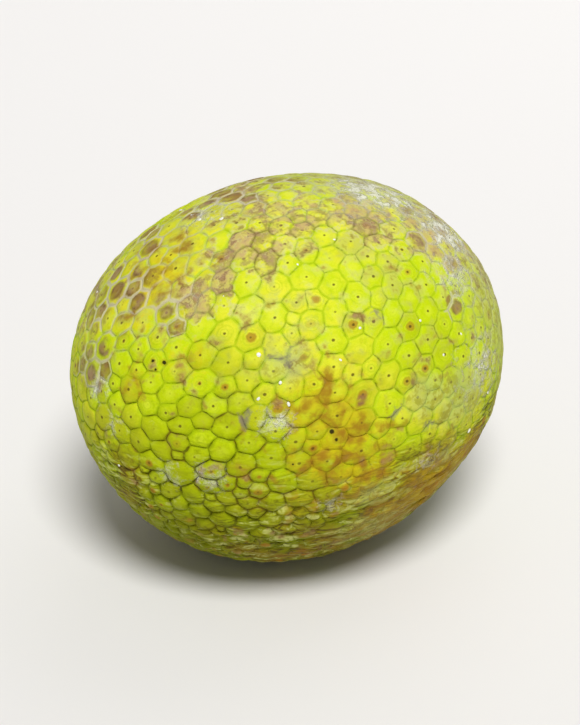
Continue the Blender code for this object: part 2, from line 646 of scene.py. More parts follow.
class NodeSketch:
    """Short calls that add and join shader nodes in one material."""

    def __init__(self, name: str) -> None:
        """Start a material with its Principled shader."""
        self.material = bpy.data.materials.new(name)
        self.material.use_nodes = True
        self.nodes = self.material.node_tree.nodes
        self.shader = self.nodes["Principled BSDF"]
        self.coordinates = self._node("TexCoord").outputs["Object"]

    def _node(self, kind: str, **options: str) -> bpy.types.Node:
        """Add a shader node of a kind, with its options."""
        node = self.nodes.new("ShaderNode" + kind)
        for name, option in options.items():
            setattr(node, name, option)
        return node

    def _join(self, value: object, socket: Socket) -> None:
        """Link a socket, or set a plain number or colour."""
        if isinstance(value, Socket):
            self.material.node_tree.links.new(value, socket)
        elif isinstance(value, tuple) and len(value) == 3 and socket.type == "RGBA":
            socket.default_value = (*value, 1.0)
        else:
            socket.default_value = value

    def _fill(self, node: bpy.types.Node, **values: object) -> bpy.types.Node:
        """Set or link a node's sockets by name, with _ for a space."""
        for name, value in values.items():
            self._join(value, node.inputs[name.replace("_", " ")])
        return node

    def attribute(self, name: str) -> Socket:
        """A number that the mesh holds at each point."""
        return self._node("Attribute", attribute_name=name).outputs["Fac"]

    def noise(
        self,
        size: float,
        detail: float = 2.0,
        roughness: float = 0.5,
        distortion: float = 0.0,
        coordinates: Socket | None = None,
    ) -> Socket:
        """Cloudy noise whose features are about the size given, in metres."""
        node = self._fill(
            self._node("TexNoise"),
            Vector=coordinates or self.coordinates,
            Scale=1.0 / size,
            Detail=detail,
            Roughness=roughness,
            Distortion=distortion,
        )
        return node.outputs["Fac"]

    def stretched(self, stretch: tuple[float, float, float], turn: tuple[float, float, float]) -> Socket:
        """Object coordinates turned, then squeezed along each axis, for streaks."""
        node = self._fill(
            self._node("Mapping"), Vector=self.coordinates, Rotation=turn, Scale=stretch
        )
        return node.outputs["Vector"]

    def height(self) -> Socket:
        """Height above the floor, in metres."""
        return self._fill(self._node("SeparateXYZ"), Vector=self.coordinates).outputs["Z"]

    def distance(self, spot: Vector) -> Socket:
        """Distance from a spot, in metres."""
        node = self._node("VectorMath", operation="DISTANCE")
        self._join(self.coordinates, node.inputs[0])
        node.inputs[1].default_value = spot
        return node.outputs["Value"]

    def math(self, operation: str, first: object, second: object = 0.0) -> Socket:
        """One sum of two numbers."""
        node = self._node("Math", operation=operation)
        self._join(first, node.inputs[0])
        self._join(second, node.inputs[1])
        return node.outputs[0]

    def times(self, *factors: object) -> Socket:
        """The product of several numbers."""
        return reduce(lambda product, factor: self.math("MULTIPLY", product, factor), factors)

    def plus(self, *terms: object) -> Socket:
        """The sum of several numbers."""
        return reduce(lambda total, term: self.math("ADD", total, term), terms)

    def minus(self, first: object, second: object) -> Socket:
        """The first number less the second."""
        return self.math("SUBTRACT", first, second)

    def vary(self, value: object, by: float) -> Socket:
        """A number from 0 to 1, turned into one that swings round 0."""
        return self.times(self.minus(value, 0.5), by)

    def rise(self, value: object, low: float, high: float) -> Socket:
        """0 below low and 1 above high, smooth between them. Low may be the larger."""
        node = self._fill(
            self._node("MapRange", interpolation_type="SMOOTHSTEP"),
            Value=value,
            From_Min=min(low, high),
            From_Max=max(low, high),
            To_Min=float(low > high),
            To_Max=float(low < high),
        )
        return node.outputs["Result"]

    def line(self, value: object, level: float, width: float) -> Socket:
        """1 along the winding lines where a cloudy pattern crosses a level, fading to 0."""
        return self.rise(self.math("ABSOLUTE", self.minus(value, level)), width, 0.0)

    def blend(self, amount: object, first: object, second: object) -> Socket:
        """The first colour, turning into the second as the amount goes from 0 to 1."""
        node = self._node("Mix", data_type="RGBA")
        return self._fill(node, Factor=amount, A=first, B=second).outputs["Result"]

    def over(self, skin: object, colour: object, *amounts: object) -> Socket:
        """A colour laid over the skin, as strongly as the amounts say when multiplied."""
        return self.blend(self.times(*amounts), skin, colour)

    def bump(
        self, height: object, distance: float, strength: float, under: object = None
    ) -> Socket:
        """A bumped normal, over another one if it is given."""
        node = self._node("Bump")
        self._fill(node, Height=height, Distance=distance, Strength=strength)
        if under is not None:
            self._fill(node, Normal=under)
        return node.outputs["Normal"]

    def finish(self, **values: object) -> bpy.types.Material:
        """Set or link the shader's sockets by name, with _ for a space."""
        self._fill(self.shader, **values)
        return self.material


class Weather:
    """The patterns that every layer of the rind's finish shares, and what the rind's mesh holds."""

    def __init__(self, s: NodeSketch) -> None:
        """Add the patterns, from broad to fine, and the mesh's attributes."""
        level = s.stretched((0.27, 0.27, 1.0), (0.10, -0.08, 0.0))
        self.wide = s.noise(60 * MM)
        self.cloud = s.noise(20 * MM, 3.0, 0.55)
        self.patch = s.noise(7.5 * MM, 4.0, 0.6, 0.5)
        self.soft = s.noise(6.0 * MM, 1.5, 0.45)
        self.blot = s.noise(4.5 * MM, 4.0, 0.62, 0.9)
        self.mottle = s.noise(2.6 * MM, 3.0, 0.6)
        self.grain = s.noise(0.8 * MM, 2.0, 0.6)
        self.streaks = s.noise(3.2 * MM, 2.0, 0.5, 1.1, level)
        self.fibres = s.noise(1.4 * MM, 2.0, 0.6, 0.9, level)
        self.edge = s.attribute("edge")
        self.reach = s.attribute("reach")
        self.tone = s.attribute("tone")
        self.dot = s.attribute("dot")
        self.chance = s.attribute("chance")
        self.rugged = s.attribute("rugged")
        self.amounts = {kind: s.attribute(kind.value) for kind in BlemishKind}
        self.creased = self.amounts[BlemishKind.CREASED]


@dataclass(frozen=True)
class RindFinish:
    """Waxy ripe rind: yellow-green areoles with a dark dot, scuffed brown and veiled with dried latex."""

    nicks: tuple[tuple[Vector, float], ...]
    lime: Colour = (0.54, 0.68, 0.005)
    yellow: Colour = (0.77, 0.745, 0.034)
    gold: Colour = (0.76, 0.62, 0.020)
    leaf: Colour = (0.36, 0.50, 0.003)
    edge_green: Colour = (0.40, 0.56, 0.004)
    dusky: Colour = (0.36, 0.39, 0.010)
    olive: Colour = (0.36, 0.42, 0.002)
    # Painted shade under the fruit.
    underside_shade: Colour = (0.12, 0.130, 0.001)
    halo: Colour = (0.80, 0.84, 0.08)
    groove_green: Colour = (0.14, 0.17, 0.004)
    shaded: Colour = (0.20, 0.20, 0.003)
    groove_dark: Colour = (0.052, 0.042, 0.004)
    groove_brown: Colour = (0.16, 0.080, 0.010)
    # Pale waxy bloom, also the painted sheen towards the top and the cream of the creases.
    bloom_and_sheen: Colour = (0.70, 0.72, 0.24)
    fleck: Colour = (0.40, 0.31, 0.015)
    pale: Colour = (0.60, 0.57, 0.32)
    dot: Colour = (0.085, 0.052, 0.008)
    sore: Colour = (0.38, 0.17, 0.014)
    brown: Colour = (0.30, 0.175, 0.045)
    brown_deep: Colour = (0.13, 0.070, 0.020)
    tan: Colour = (0.54, 0.38, 0.16)
    mauve: Colour = (0.37, 0.23, 0.135)
    scab: Colour = (0.16, 0.085, 0.025)
    rust: Colour = (0.60, 0.43, 0.010)
    rust_deep: Colour = (0.33, 0.165, 0.012)
    rust_brown: Colour = (0.37, 0.23, 0.013)
    crease_olive: Colour = (0.24, 0.27, 0.003)
    crease_brown: Colour = (0.30, 0.150, 0.016)
    cream: Colour = (0.62, 0.60, 0.24)
    bleached: Colour = (0.58, 0.52, 0.38)
    latex: Colour = (0.76, 0.76, 0.62)
    dull: Colour = (0.46, 0.51, 0.16)
    dull_brown: Colour = (0.30, 0.28, 0.06)
    grey: Colour = (0.22, 0.19, 0.15)
    nick: Colour = (0.016, 0.011, 0.005)
    underside_shade_from: float = 92 * MM
    underside_shade_to: float = 8 * MM
    upper_sheen_from: float = 60 * MM
    upper_sheen_to: float = 135 * MM

    def material(self) -> bpy.types.Material:
        """Build the finish from the rind's attributes and object-space noise.

        Returns:
            The finished material.
        """
        s = NodeSketch("breadfruit_rind")
        w = Weather(s)
        skin = self._ripe(s, w)
        layers = (self._grooves, self._creases, self._rust, self._dots, self._scuffs, self._browning)
        for layer in layers:
            skin = layer(s, w, skin)
        skin, film = self._latex(s, w, skin)
        skin = self._smudges(s, w, skin)
        roughness = s.plus(
            0.50, s.vary(w.grain, 0.18), s.vary(w.mottle, 0.20), s.times(film, -0.18)
        )
        normal = s.bump(w.grain, 0.10 * MM, 0.45)
        normal = s.bump(w.mottle, 0.35 * MM, 0.35, under=normal)
        folded = s.plus(w.creased, s.times(w.rugged, 0.20), s.times(film, 0.3))
        normal = s.bump(s.times(w.streaks, folded), 3.5 * MM, 0.8, under=normal)
        fibrous = s.plus(w.creased, s.times(film, 0.8), 0.15)
        normal = s.bump(s.times(w.fibres, fibrous), 0.8 * MM, 0.5, under=normal)
        return s.finish(
            Base_Color=skin,
            Roughness=roughness,
            Normal=normal,
            IOR=1.33,
            Specular_IOR_Level=0.07,
        )

    def _ripe(self, s: NodeSketch, w: Weather) -> Socket:
        """Ripe skin: lime turning yellow, greener towards each areole's edge, with painted sheen paling
        the top and painted shade darkening the bottom.
        """
        ripeness = s.plus(
            0.66,
            s.vary(w.wide, 1.3),
            s.vary(w.cloud, 1.2),
            s.vary(w.patch, 0.9),
            s.vary(w.tone, 0.20),
            s.times(w.rugged, s.plus(-0.35, s.vary(w.tone, 0.9))),
            s.times(w.amounts[BlemishKind.UNRIPE], -0.80),
        )
        skin = s.blend(s.rise(ripeness, 0.15, 0.95), self.lime, self.yellow)
        golden = s.plus(w.amounts[BlemishKind.GOLDEN], s.vary(w.blot, 1.6))
        skin = s.over(skin, self.gold, s.rise(golden, 0.45, 1.05), 0.75)
        skin = s.over(skin, self.leaf, s.rise(w.mottle, 0.48, 0.70), 0.36)
        skin = s.over(skin, self.halo, s.rise(w.grain, 0.52, 0.72), 0.22)
        wobble = s.plus(w.reach, s.vary(w.mottle, 2.2), s.vary(w.blot, 1.8))
        skin = s.over(skin, self.halo, s.rise(wobble, 3.0, 0.6), 0.28)
        rings = s.plus(s.line(wobble, 1.5, 0.50), s.times(s.line(wobble, 2.9, 0.50), 0.8))
        rings = s.times(rings, s.rise(s.plus(w.chance, s.vary(w.patch, 1.2)), 0.30, 0.85))
        skin = s.over(skin, self.leaf, rings, 0.42)
        band = s.plus(w.edge, s.vary(w.mottle, 1.2), s.vary(w.patch, 2.4))
        skin = s.over(skin, self.edge_green, s.rise(band, 1.5, 0.1), 0.72)
        # Pale waxy bloom in cloudy patches, thicker towards the top: the extra paleness at the top is
        # painted sheen.
        upper = s.rise(s.height(), self.upper_sheen_from, self.upper_sheen_to)
        bloom_and_sheen = s.plus(w.soft, s.vary(w.mottle, 0.5), s.vary(w.cloud, 0.6), s.vary(upper, 0.3))
        bloom_and_sheen = s.times(s.rise(bloom_and_sheen, 0.54, 0.86), s.plus(0.12, s.times(upper, 0.40)))
        skin = s.over(skin, self.bloom_and_sheen, bloom_and_sheen)
        flecks = s.plus(w.mottle, s.vary(w.soft, 0.7), s.vary(w.cloud, 0.5))
        skin = s.over(skin, self.fleck, s.rise(flecks, 0.62, 0.80), 0.50)
        dusky = s.plus(w.cloud, s.vary(w.soft, 0.75), s.vary(w.tone, 0.22))
        skin = s.over(skin, self.dusky, s.rise(dusky, 0.44, 0.70), 0.42)
        turned = s.plus(w.rugged, s.vary(w.cloud, 0.8), s.vary(w.blot, 0.6), s.vary(w.tone, 0.6))
        skin = s.over(skin, self.olive, s.rise(turned, 0.15, 1.0), 0.60)
        # Painted shade: darker towards the bottom, turning near-black olive over the lowest part, standing
        # in for the shade under the fruit.
        low = s.plus(s.height(), s.times(s.vary(w.cloud, 1.0), 20 * MM))
        return s.over(skin, self.underside_shade, s.rise(low, self.underside_shade_from, self.underside_shade_to), 0.92)

    def _grooves(self, s: NodeSketch, w: Weather, skin: Socket) -> Socket:
        """Draw the lines between areoles: faint or green, brown or nearly black where deep, or pale.
        Painted shade darkens a band beside them on the rugged side and the deep cracks.
        """
        wobble = s.plus(w.edge, s.vary(w.mottle, 0.5))
        shown = s.rise(s.plus(w.creased, s.vary(w.blot, 0.9)), 0.90, 0.20)
        smooth = s.rise(w.rugged, 0.75, 0.25)
        skin = s.over(skin, self.halo, s.line(wobble, 0.85, 0.45), smooth, 0.15)
        shown = s.times(shown, s.plus(0.2, s.times(s.rise(w.soft, 0.37, 0.57), 0.8)))
        strength = s.plus(0.12, s.times(s.rise(w.blot, 0.40, 0.60), 0.60))
        line = s.times(s.rise(wobble, 0.42, 0.0), strength, shown)
        skin = s.over(skin, self.groove_green, line)
        deep = s.plus(w.rugged, s.vary(w.cloud, 1.0), s.vary(w.patch, 1.2), s.vary(w.streaks, 1.5))
        deep = s.rise(deep, 0.45, 1.10)
        # Painted shade: a darker band beside the grooves on the rugged side, where the deep grooves shade
        # the areoles.
        shade = s.rise(s.plus(wobble, s.vary(w.streaks, 1.6)), 1.9, 0.1)
        shaded = s.times(s.rise(w.rugged, 0.25, 0.85), shade, shown, 0.40)
        skin = s.over(skin, self.shaded, shaded)
        # Deep cracks, brown in places and near-black in others: the brown is their own colour, the
        # near-black is painted shade in the cracks.
        crack = s.rise(s.minus(wobble, s.times(deep, 0.34)), 0.40, 0.0)
        colour = s.blend(s.rise(w.cloud, 0.46, 0.62), self.groove_dark, self.groove_brown)
        skin = s.over(skin, colour, deep, crack, shown, 0.62)
        netted = s.plus(w.amounts[BlemishKind.NETTED], s.vary(w.patch, 1.1))
        net = s.times(s.rise(netted, 0.35, 0.85), s.rise(wobble, 1.05, 0.20), 0.62)
        return s.over(skin, self.pale, net)

    def _creases(self, s: NodeSketch, w: Weather, skin: Socket) -> Socket:
        """Lay the long dark, brown and cream streaks of the folded side over its areoles."""
        folds = s.plus(w.creased, s.times(w.rugged, 0.36), s.vary(w.blot, 0.9))
        folds = s.rise(folds, 0.25, 0.80)
        rusty = s.plus(w.cloud, s.times(w.amounts[BlemishKind.RUST], 0.30))
        brown = s.times(w.creased, s.rise(rusty, 0.42, 0.62))
        wash = s.blend(brown, self.crease_olive, self.crease_brown)
        skin = s.over(skin, self.crease_brown, brown, 0.64)
        skin = s.over(skin, wash, folds, s.rise(w.streaks, 0.40, 0.58), 0.84)
        cream = s.times(folds, s.rise(w.streaks, 0.48, 0.36), s.rise(w.blot, 0.40, 0.56))
        skin = s.over(skin, self.bloom_and_sheen, cream, s.minus(0.72, s.times(brown, 0.45)))
        dark = s.blend(brown, self.groove_dark, self.scab)
        cracks = s.times(folds, s.line(w.streaks, 0.56, 0.075), s.rise(w.patch, 0.36, 0.52), 0.90)
        return s.over(skin, dark, cracks)

    def _rust(self, s: NodeSketch, w: Weather, skin: Socket) -> Socket:
        """Wash patches with orange, and stain them brown in the middle."""
        rust = w.amounts[BlemishKind.RUST]
        wash = s.plus(rust, s.vary(w.patch, 1.8), s.vary(w.streaks, 0.8), s.vary(w.mottle, 0.4))
        skin = s.over(skin, self.rust, s.rise(wash, 0.30, 1.25), 0.66)
        stain = s.plus(rust, s.vary(w.soft, 3.4), s.vary(w.blot, 1.6), s.vary(w.mottle, 0.7))
        skin = s.over(skin, self.rust_brown, s.rise(stain, 0.42, 1.45), 0.95)
        return s.over(skin, self.rust_deep, s.rise(stain, 1.00, 1.90), 0.75)

    def _browning(self, s: NodeSketch, w: Weather, skin: Socket) -> Socket:
        """Brown the crowns of rubbed areoles, darkest at the rim, and bleach round them."""
        browned = w.amounts[BlemishKind.BROWNED]
        worn = s.plus(browned, s.vary(w.chance, 1.0), s.vary(w.patch, 0.8), -0.14)
        worn = s.rise(worn, 0.42, 0.70)
        wobble = s.plus(w.edge, s.vary(w.mottle, 0.9), s.vary(w.blot, 1.0))
        skin = s.over(skin, self.bleached, worn, s.rise(wobble, 1.4, 0.4), 0.66)
        out = s.plus(w.reach, s.vary(w.blot, 2.6), s.vary(w.tone, 1.6))
        crown = s.times(worn, s.rise(wobble, 0.45, 1.20), s.rise(out, 4.6, 3.0))
        crown = s.times(crown, s.plus(0.62, s.times(s.rise(w.soft, 0.36, 0.60), 0.30)))
        middle = s.plus(w.mottle, s.vary(w.tone, 0.5))
        colour = s.blend(s.rise(middle, 0.30, 0.70), self.brown, self.mauve)
        rim = s.times(s.rise(out, 1.4, 3.4), s.rise(w.blot, 0.36, 0.58))
        rim = s.plus(rim, s.times(s.rise(w.mottle, 0.46, 0.66), 0.35))
        colour = s.blend(s.times(rim, 0.66), colour, self.brown_deep)
        return s.over(skin, colour, crown)

    def _scuffs(self, s: NodeSketch, w: Weather, skin: Socket) -> Socket:
        """Scuff whole patches tan and mauve, across the grooves, darker in places along their rim."""
        scuffed = w.amounts[BlemishKind.SCUFFED]
        amount = s.plus(scuffed, s.vary(w.soft, 2.0), s.vary(w.blot, 0.5), s.vary(w.chance, 0.50))
        netted = s.rise(w.amounts[BlemishKind.NETTED], 0.25, 0.60)
        shade = s.plus(w.blot, s.vary(w.mottle, 0.7), s.vary(w.tone, 0.30))
        colour = s.blend(s.rise(shade, 0.40, 0.60), self.tan, self.mauve)
        swirl = s.times(s.line(w.blot, 0.50, 0.05), s.rise(w.patch, 0.44, 0.58))
        colour = s.blend(s.times(swirl, 0.60), colour, self.cream)
        seam = s.rise(s.plus(w.edge, s.vary(w.mottle, 1.0), s.vary(w.blot, 1.0)), 1.1, 0.1)
        colour = s.blend(s.times(seam, 0.65), colour, s.blend(netted, self.scab, self.bleached))
        colour = s.blend(s.times(s.line(shade, 0.60, 0.07), 0.45), colour, self.scab)
        cream = s.times(s.line(amount, 0.42, 0.16), s.rise(w.mottle, 0.40, 0.56), 0.65)
        skin = s.over(skin, self.cream, cream, s.rise(scuffed, 0.05, 0.40))
        solid = s.plus(0.68, s.times(s.rise(w.mottle, 0.4, 0.6), 0.24))
        cover = s.times(s.rise(amount, 0.34, 1.02), solid)
        skin = s.over(skin, colour, cover)
        rim = s.times(s.line(amount, 0.66, 0.16), s.rise(w.mottle, 0.42, 0.58), 0.40)
        return s.over(skin, self.scab, rim)

    def _dots(self, s: NodeSketch, w: Weather, skin: Socket) -> Socket:
        """Put the dried flower's dark dot in the middle of each areole, sore on some."""
        ragged = s.plus(w.reach, s.vary(w.mottle, 1.8), s.vary(w.grain, 0.5))
        sore = s.rise(s.minus(ragged, s.times(w.tone, 1.3)), 1.2, 0.1)
        skin = s.over(skin, self.sore, sore, s.rise(w.chance, 0.85, 0.95), 0.75)
        spread = s.minus(s.plus(w.reach, s.vary(w.grain, 0.35)), s.times(w.dot, 0.34))
        dot = s.times(s.rise(spread, 0.55, 0.08), s.rise(w.dot, 0.05, 0.45))
        hidden = s.rise(s.plus(w.creased, s.times(w.rugged, 0.5)), 0.85, 0.25)
        return s.over(skin, self.dot, dot, hidden, 0.82)

    def _latex(self, s: NodeSketch, w: Weather, skin: Socket) -> tuple[Socket, Socket]:
        """Dull the worn side, and veil patches with flaking dried latex, thickest on the grooves. The haze
        and film on the top and right-hand limbs, as the camera sees them, are partly painted sheen.

        Returns:
            The veiled colour and how much film there is.
        """
        dulled_and_sheen = w.amounts[BlemishKind.DULLED_AND_SHEEN]
        # Pale haze: a dull worn rind, and painted sheen where it lies on the top and right-hand limbs.
        haze = s.rise(s.plus(dulled_and_sheen, s.vary(w.patch, 1.0), s.vary(w.blot, 0.8)), 0.25, 0.95)
        haze = s.times(haze, s.rise(dulled_and_sheen, 0.0, 0.30))
        shade = s.rise(s.plus(w.blot, s.vary(w.mottle, 0.8), s.times(w.edge, 0.03)), 0.50, 0.66)
        skin = s.over(skin, s.blend(shade, self.dull, self.dull_brown), haze, 0.62)
        # Dried latex film; where it lies on the top and right-hand limbs it is partly painted sheen.
        latex = w.amounts[BlemishKind.LATEX_AND_SHEEN]
        film = s.plus(
            latex,
            s.vary(w.blot, 1.6),
            s.vary(w.mottle, 1.1),
            s.vary(w.grain, 0.6),
            s.times(w.edge, -0.06),
        )
        veil, flakes = s.rise(film, 0.18, 0.90), s.rise(film, 0.62, 0.95)
        film = s.times(s.plus(s.times(veil, 0.46), s.times(flakes, 0.42)), s.rise(latex, 0.0, 0.25))
        return s.over(skin, self.latex, film), film

    def _smudges(self, s: NodeSketch, w: Weather, skin: Socket) -> Socket:
        """Grey smudges, mostly by the grooves, and a few dark nicks with a dry pale rim."""
        greyed = w.amounts[BlemishKind.GREYED]
        smudge = s.plus(greyed, s.vary(w.mottle, 1.6), s.vary(w.patch, 1.0), s.times(w.edge, -0.10))
        smudge = s.times(s.rise(smudge, 0.45, 1.05), s.rise(greyed, 0.0, 0.25))
        skin = s.over(skin, self.grey, smudge, 0.75)
        for spot, size in self.nicks:
            ragged = s.plus(s.distance(spot), s.vary(w.mottle, 1.6 * size))
            skin = s.over(skin, self.fleck, s.rise(ragged, 2.2 * size, size), 0.5)
            skin = s.over(skin, self.nick, s.rise(ragged, size, 0.45 * size), 0.95)
        return skin


@dataclass(frozen=True)
class CorkFinish:
    """Dry brown cork of the stalk scar, with paler bundles."""

    bark: Colour = (0.085, 0.045, 0.02)
    pith: Colour = (0.30, 0.19, 0.09)

    def material(self) -> bpy.types.Material:
        """Build the finish."""
        s = NodeSketch("stalk_cork")
        bundles = s.noise(1.4 * MM, 4.0, 0.7)
        fine = s.noise(0.4 * MM, 3.0, 0.6)
        colour = s.blend(s.rise(bundles, 0.35, 0.7), self.bark, self.pith)
        normal = s.bump(s.plus(bundles, s.times(fine, 0.5)), 0.5 * MM, 0.8)
        return s.finish(Base_Color=colour, Roughness=0.82, Normal=normal)


@dataclass(frozen=True)
class LatexFinish:
    """Set drops of milky latex."""

    milk: Colour = (0.88, 0.88, 0.80)
    dry: Colour = (0.74, 0.76, 0.58)

    def material(self) -> bpy.types.Material:
        """Build the finish."""
        s = NodeSketch("set_latex")
        colour = s.over(self.milk, self.dry, s.noise(1.2 * MM), 0.5)
        return s.finish(Base_Color=colour, Roughness=0.22, Coat_Weight=0.5)


@dataclass
class StalkPlug:
    """The corky plug that the snapped stalk left in its dimple. Sizes are in metres."""

    body: FruitBody
    segments: int = 64
    profile: tuple[tuple[float, float], ...] = (
        (7.0 * MM, -3.4 * MM),
        (6.8 * MM, -2.2 * MM),
        (6.5 * MM, -0.9 * MM),
        (6.2 * MM, -0.1 * MM),
        (5.6 * MM, 0.35 * MM),
        (4.9 * MM, 0.30 * MM),
        (4.2 * MM, -0.15 * MM),
        (3.5 * MM, -0.50 * MM),
        (2.5 * MM, -0.45 * MM),
        (1.4 * MM, -0.60 * MM),
        (0.6 * MM, -0.50 * MM),
    )
    first_inset: float = 0.02 * MM
    smooth_foot: float = 1.0 * MM
    raggedness: float = 0.35 * MM
    lump_size: float = 1.3 * MM

    def build(self) -> bpy.types.Object:
        """Turn up the plug ring by ring from a disc, rough it and stand it on the +X pole."""
        mesh = bmesh.new()
        radius, depth = self.profile[0]
        made = bmesh.ops.create_circle(
            mesh,
            cap_ends=True,
            segments=self.segments,
            radius=radius,
            matrix=Matrix.Translation((0, 0, depth)),
        )
        floor = made["verts"][0].link_faces[0]
        top = bmesh.ops.extrude_face_region(mesh, geom=[floor])["geom"]
        top = next(part for part in top if isinstance(part, bmesh.types.BMFace))
        self._shape(top, *self.profile[1])
        for radius, height in self.profile[2:]:
            bmesh.ops.inset_individual(mesh, faces=[top], thickness=self.first_inset)
            self._shape(top, radius, height)
        bmesh.ops.recalc_face_normals(mesh, faces=list(mesh.faces))
        for vert in mesh.verts:
            if vert.co.z > depth + self.smooth_foot:
                stray = noise.noise_vector(vert.co / self.lump_size)
                vert.co += stray * self.raggedness
        pole = self.body.spot(0.0, 0.0)
        mesh.transform(Matrix.Translation(pole) @ Matrix.Rotation(math.pi / 2, 4, "Y"))
        return finished(mesh, "stalk_scar")

    def _shape(self, face: bmesh.types.BMFace, radius: float, height: float) -> None:
        """Set the loop round a face to a radius and a height."""
        for vert in face.verts:
            around = Vector((vert.co.x, vert.co.y, 0.0)).normalized()
            vert.co = around * radius
            vert.co.z = height


@dataclass
class LatexDrops:
    """Beads of latex that bled from nicks in the rind and set there.

    Radii are in mm. A stray's height is given as the sine of its angle.
    """

    body: FruitBody
    places: tuple[tuple[float, float, float], ...]
    strays: int = 26
    stray_heights: tuple[float, float] = (-0.6, 0.95)
    stray_radii: tuple[float, float] = (0.35, 0.8)
    narrowest: float = 0.6
    thickness: float = 0.34
    lumpiness: float = 0.16
    lump_size: float = 1.1 * MM
    seed: int = 3

    def build(self) -> bpy.types.Object:
        """Lay a flattened bead at each place, and a few strays anywhere."""
        chance = random.Random(self.seed)
        drops = list(self.places)
        for _ in range(self.strays):
            height = math.degrees(math.asin(chance.uniform(*self.stray_heights)))
            drops.append((chance.uniform(-180, 180), height, chance.uniform(*self.stray_radii)))
        mesh = bmesh.new()
        for bearing, height, radius in drops:
            point = self.body.spot(bearing, height)
            turn = self.body.normal_at(bearing, height).to_track_quat("Z", "Y").to_matrix().to_4x4()
            spin = Matrix.Rotation(chance.uniform(0, math.pi), 4, "Z")
            flat = Matrix.Diagonal((1.0, chance.uniform(self.narrowest, 1.0), self.thickness, 1.0))
            made = bmesh.ops.create_icosphere(
                mesh,
                subdivisions=2,
                radius=radius * MM,
                matrix=Matrix.Translation(point) @ turn @ spin @ flat,
            )
            for vert in made["verts"]:
                stray = noise.noise_vector(vert.co / self.lump_size)
                vert.co += stray * radius * self.lumpiness * MM
        return finished(mesh, "latex_drops")


@dataclass
class Studio:
    """Pale floor, soft lights and the camera. Angles are in degrees; a light's turn is from the camera."""

    target: Vector
    azimuth: float = -33.0
    elevation: float = 30.0
    distance: float = 1.05
    focal_length: float = 132.0
    floor_half_size: float = 3.0
    pale: Colour = (0.80, 0.785, 0.77)
    sky: Colour = (1.0, 0.985, 0.965)
    sky_strength: float = 0.22
    window_turn: float = 10.0
    window_elevation: float = 60.0
    window_spread: float = 22.0
    window_strength: float = 2.95
    rim_turn: float = 150.0
    rim_elevation: float = 42.0
    rim_size: float = 1.2
    rim_distance: float = 1.2
    rim_watts: float = 3.0

    def _aim(self, thing: bpy.types.Object, turn: float, elevation: float, distance: float) -> None:
        """Stand a light or camera round the target, facing it.

        Args:
            thing: the light or camera.
            turn: how far round from the camera's side it stands.
            elevation: how high it stands.
            distance: how far from the target, in metres.
        """
        azimuth, rise = math.radians(self.azimuth + turn), math.radians(elevation)
        flat = math.cos(rise)
        back = Vector((math.sin(azimuth) * flat, -math.cos(azimuth) * flat, math.sin(rise)))
        thing.location = self.target + back * distance
        thing.rotation_mode = "QUATERNION"
        thing.rotation_quaternion = back.to_track_quat("Z", "Y")

    def floor(self) -> None:
        """A wide pale floor under the fruit."""
        mesh = bmesh.new()
        bmesh.ops.create_grid(mesh, x_segments=1, y_segments=1, size=self.floor_half_size)
        floor = finished(mesh, "floor")
        paint = NodeSketch("studio_floor").finish(Base_Color=self.pale, Roughness=0.75)
        floor.data.materials.append(paint)

    def surround(self) -> None:
        """A dim, slightly warm sky all round."""
        world = bpy.data.worlds.new("studio_sky")
        world.use_nodes = True
        sky = world.node_tree.nodes["Background"]
        sky.inputs["Color"].default_value = (*self.sky, 1.0)
        sky.inputs["Strength"].default_value = self.sky_strength
        bpy.context.scene.world = world

    def window(self) -> None:
        """An even soft light from one side, like a broad window's."""
        data = bpy.data.lights.new("window", "SUN")
        data.angle = math.radians(self.window_spread)
        data.energy = self.window_strength
        self._aim(place("window", data), self.window_turn, self.window_elevation, self.distance)

    def rim(self) -> None:
        """A soft square light that catches the fruit's edge from behind."""
        data = bpy.data.lights.new("rim", "AREA")
        data.size = self.rim_size
        data.energy = self.rim_watts
        self._aim(place("rim", data), self.rim_turn, self.rim_elevation, self.rim_distance)

    def camera(self) -> None:
        """The camera, looking down at the fruit."""
        data = bpy.data.cameras.new("camera")
        data.lens = self.focal_length
        camera = place("camera", data)
        self._aim(camera, 0.0, self.elevation, self.distance)
        bpy.context.scene.camera = camera

    def build(self) -> None:
        """Set up the floor, the sky, the lights and the camera."""
        self.floor()
        self.surround()
        self.window()
        self.rim()
        self.camera()
        settings = bpy.context.scene.view_settings
        settings.view_transform = "Standard"
        settings.look = "None"


